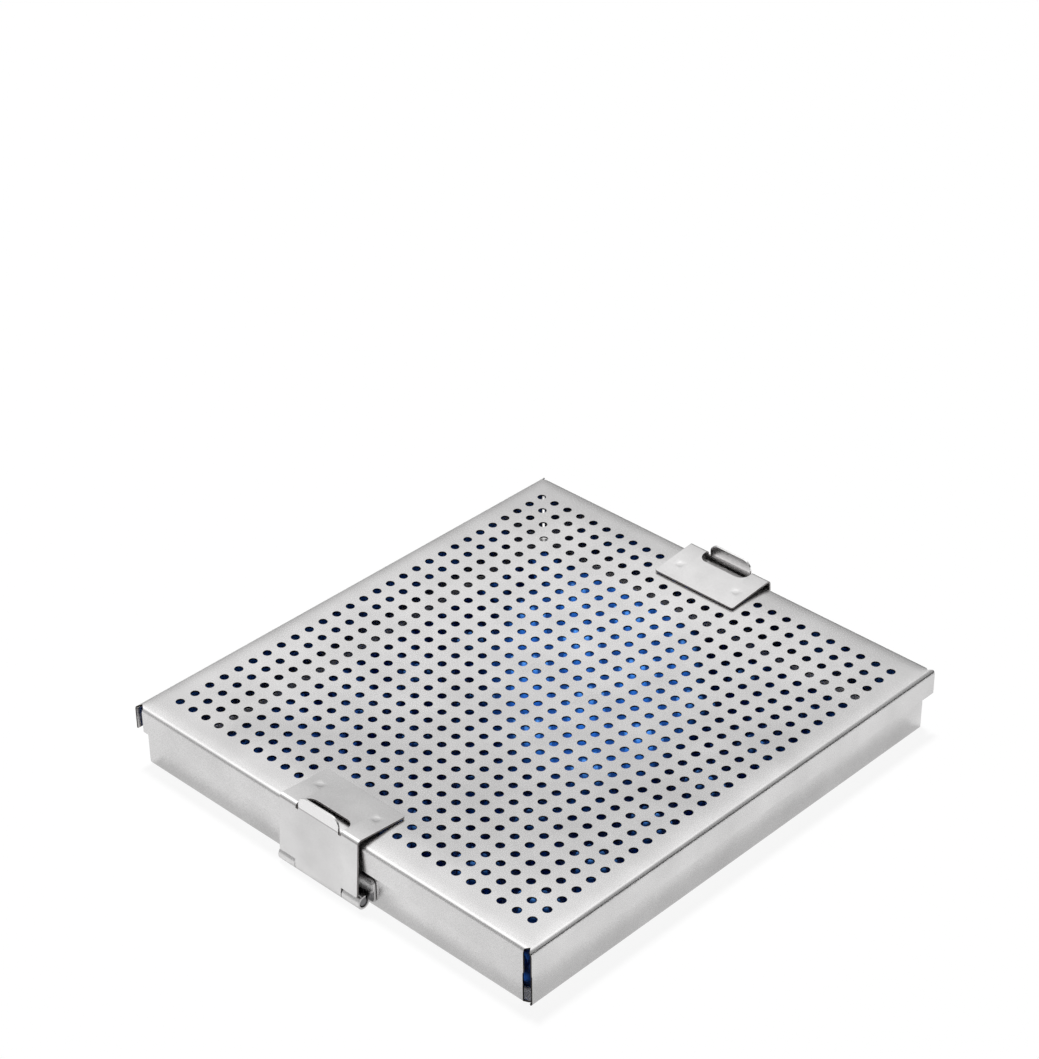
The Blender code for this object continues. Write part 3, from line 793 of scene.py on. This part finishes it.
def make_floor():
    """A matt white card: white to the camera, but it keeps the case's shadow."""
    bm = bmesh.new()
    bmesh.ops.create_grid(bm, x_segments=1, y_segments=1, size=CARD_HALF)
    mesh = bpy.data.meshes.new("floor")
    bm.to_mesh(mesh)
    bm.free()
    material, tree, shader = blank_material("white_card")
    output = tree.nodes["Material Output"]
    shader.inputs["Base Color"].default_value = colour_of("#F4F4F4")
    shader.inputs["Roughness"].default_value = 0.9
    shader.inputs["Specular IOR Level"].default_value = 0.1
    white = add_node(tree, "ShaderNodeEmission", {"Color": (1, 1, 1, 1), "Strength": CARD_WHITE})
    path = add_node(tree, "ShaderNodeLightPath")
    # The steel mirrors a paler share of the card, which ends to the right of the case
    place = add_node(tree, "ShaderNodeTexCoord").outputs["Object"]
    across = add_node(tree, "ShaderNodeSeparateXYZ", links={"Vector": place})
    mirrored = add_node(
        tree, "ShaderNodeMapRange",
        {"From Min": CARD_MIRRORED_TO[0], "From Max": CARD_MIRRORED_TO[1],
         "To Min": CARD_MIRRORED, "To Max": 0.0},
        {"Value": across.outputs["X"]})
    glossy = add_node(
        tree, "ShaderNodeMath", {"operation": "MULTIPLY"},
        {0: path.outputs["Is Glossy Ray"], 1: mirrored.outputs["Result"]})
    share = add_node(
        tree, "ShaderNodeMath", {"operation": "MULTIPLY_ADD", 1: CARD_SEEN},
        {0: path.outputs["Is Camera Ray"], 2: glossy.outputs[0]})
    seen = add_node(tree, "ShaderNodeMixShader", links={
        0: share.outputs[0], 1: shader.outputs[0], 2: white.outputs[0]})
    # Little of the card's light reaches the mat through the corner slits
    dark = add_node(tree, "ShaderNodeEmission", {"Strength": 0.0})
    hidden = add_node(
        tree, "ShaderNodeMath", {"operation": "MULTIPLY", 1: CARD_HIDDEN},
        {0: path.outputs["Is Diffuse Ray"]})
    mixed = add_node(tree, "ShaderNodeMixShader", links={
        0: hidden.outputs[0], 1: seen.outputs[0], 2: dark.outputs[0]})
    tree.links.new(mixed.outputs[0], output.inputs["Surface"])
    mesh.materials.append(material)
    floor = bpy.data.objects.new("floor", mesh)
    floor.location.z = -CARD_DROP
    bpy.context.scene.collection.objects.link(floor)


def add_lamp(name, kind, place, aim, settings):
    """A lamp at a place, turned along an aim, with its kind's own settings."""
    data = bpy.data.lights.new(name, kind)
    for setting, value in settings.items():
        setattr(data, setting, value)
    lamp = bpy.data.objects.new(name, data)
    lamp.location = place
    lamp.rotation_euler = aim.to_track_quat("-Z", "Y").to_euler()
    bpy.context.scene.collection.objects.link(lamp)
    return lamp


def direction_level(tree, direction, along, low, high, level_low, level_high):
    """A level that goes smoothly from one value to another along a direction of the room."""
    reach = add_node(
        tree, "ShaderNodeVectorMath", {"operation": "DOT_PRODUCT", 1: along}, {0: direction})
    level = add_node(
        tree, "ShaderNodeMapRange",
        {"interpolation_type": "SMOOTHSTEP", "From Min": low, "From Max": high,
         "To Min": level_low, "To Max": level_high},
        {"Value": reach.outputs["Value"]})
    return level.outputs["Result"]


def light_studio():
    """A pale room, darker near its floor and to the back right, with a soft light on the left.
    A small one high above and a narrow beam light the mat through the lid's holes."""
    world = bpy.data.worlds.new("pale_room")
    bpy.context.scene.world = world
    world.use_nodes = True
    tree = world.node_tree
    background = tree.nodes["Background"]
    background.inputs["Color"].default_value = colour_of("#FFFFFF")
    place = add_node(tree, "ShaderNodeTexCoord").outputs["Generated"]
    rise, low_wall, ceiling, overhead, zenith = [
        direction_level(tree, place, *values) for values in (
            ROOM_RISE, ROOM_LOW_WALL, ROOM_CEILING, ROOM_OVERHEAD, ROOM_ZENITH)]
    above = add_node(
        tree, "ShaderNodeMath", {"operation": "ADD"}, {0: ceiling, 1: overhead})
    high = add_node(
        tree, "ShaderNodeMath", {"operation": "ADD"}, {0: above.outputs[0], 1: zenith})
    level = add_node(
        tree, "ShaderNodeMix", {"data_type": "FLOAT"},
        {"Factor": rise, "A": low_wall, "B": high.outputs[0]})
    path = add_node(tree, "ShaderNodeLightPath")
    # Only what the steel mirrors is this bright: the light that falls on the case is dimmer
    fallen = add_node(
        tree, "ShaderNodeMapRange", {"To Min": ROOM_FALLEN, "To Max": 1.0},
        {"Value": path.outputs["Is Glossy Ray"]})
    strength = add_node(
        tree, "ShaderNodeMath", {"operation": "MULTIPLY"},
        {0: level.outputs["Result"], 1: fallen.outputs["Result"]})
    tree.links.new(strength.outputs[0], background.inputs["Strength"])
    white = add_node(tree, "ShaderNodeBackground", {"Color": (1, 1, 1, 1), "Strength": 1.0})
    mixed = add_node(tree, "ShaderNodeMixShader", links={
        0: path.outputs["Is Camera Ray"], 1: background.outputs[0], 2: white.outputs[0]})
    tree.links.new(mixed.outputs[0], tree.nodes["World Output"].inputs["Surface"])
    add_lamp("left_light", "AREA", LEFT_PLACE, -Vector(LEFT_PLACE), {
        "shape": "SQUARE", "size": LEFT_SIZE, "energy": LEFT_POWER})
    high_light = add_lamp("high_light", "SUN", (0, 0, 0), Vector(HIGH_AIM), {
        "energy": HIGH_POWER, "angle": HIGH_ANGLE})
    # A narrow beam along the camera's view, which shows the mat through the middle holes
    beam_place = bpy.context.scene.camera.matrix_world.translation
    middle_beam = add_lamp("middle_beam", "SPOT", beam_place, Vector(BEAM_TARGET) - beam_place, {
        "energy": BEAM_POWER, "spot_size": BEAM_ANGLE, "spot_blend": BEAM_BLEND,
        "shadow_soft_size": BEAM_RADIUS})
    for lamp in (high_light, middle_beam):
        lamp.visible_glossy = False


# The case

SHEET_STEEL = satin_stainless_steel(
    "satin_stainless_sheet", 0.55, "#C9C8C8", "#D7D6D6", "#E5E4E4", 0.2, 0.32)
# The latches' steel, with a painted highlight on the flap and a painted shade line along its root
LATCH_STEEL = paint_flap_highlight_and_root_shade(satin_stainless_steel(
    "stainless_strip_painted_flap_light", 0.4, "#CBCACA", "#D8D7D7", "#E4E3E3", 0.2, 0.3))
# Cut edges: a duller cut surface, and partly painted shade that darkens holes and gaps, the
# punched ones nearly black
PUNCHED_EDGE = cut_steel_edge("punched_edge", "#2A2827", "#4C4846")
SHEARED_EDGE = cut_steel_edge("sheared_edge", "#8A8685", "#B2AEAD")
PIN_STEEL = drawn_steel_rod()
SILICONE = moulded_blue_silicone()

make_tray(SHEET_STEEL)
make_mat(SILICONE)
make_lid(SHEET_STEEL)
for side_name, outward_side in (("front", -1), ("back", 1)):
    make_bracket(side_name, SHEET_STEEL, outward_side)
    make_latch(side_name, LATCH_STEEL, f"{side_name}_latch", outward_side)
    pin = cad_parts[f"{side_name}_hinge_pin"]
    for slot_index in range(len(pin.data.materials)):
        pin.material_slots[slot_index].material = PIN_STEEL

make_camera()
make_floor()
light_studio()
bpy.context.scene.view_settings.view_transform = "Standard"
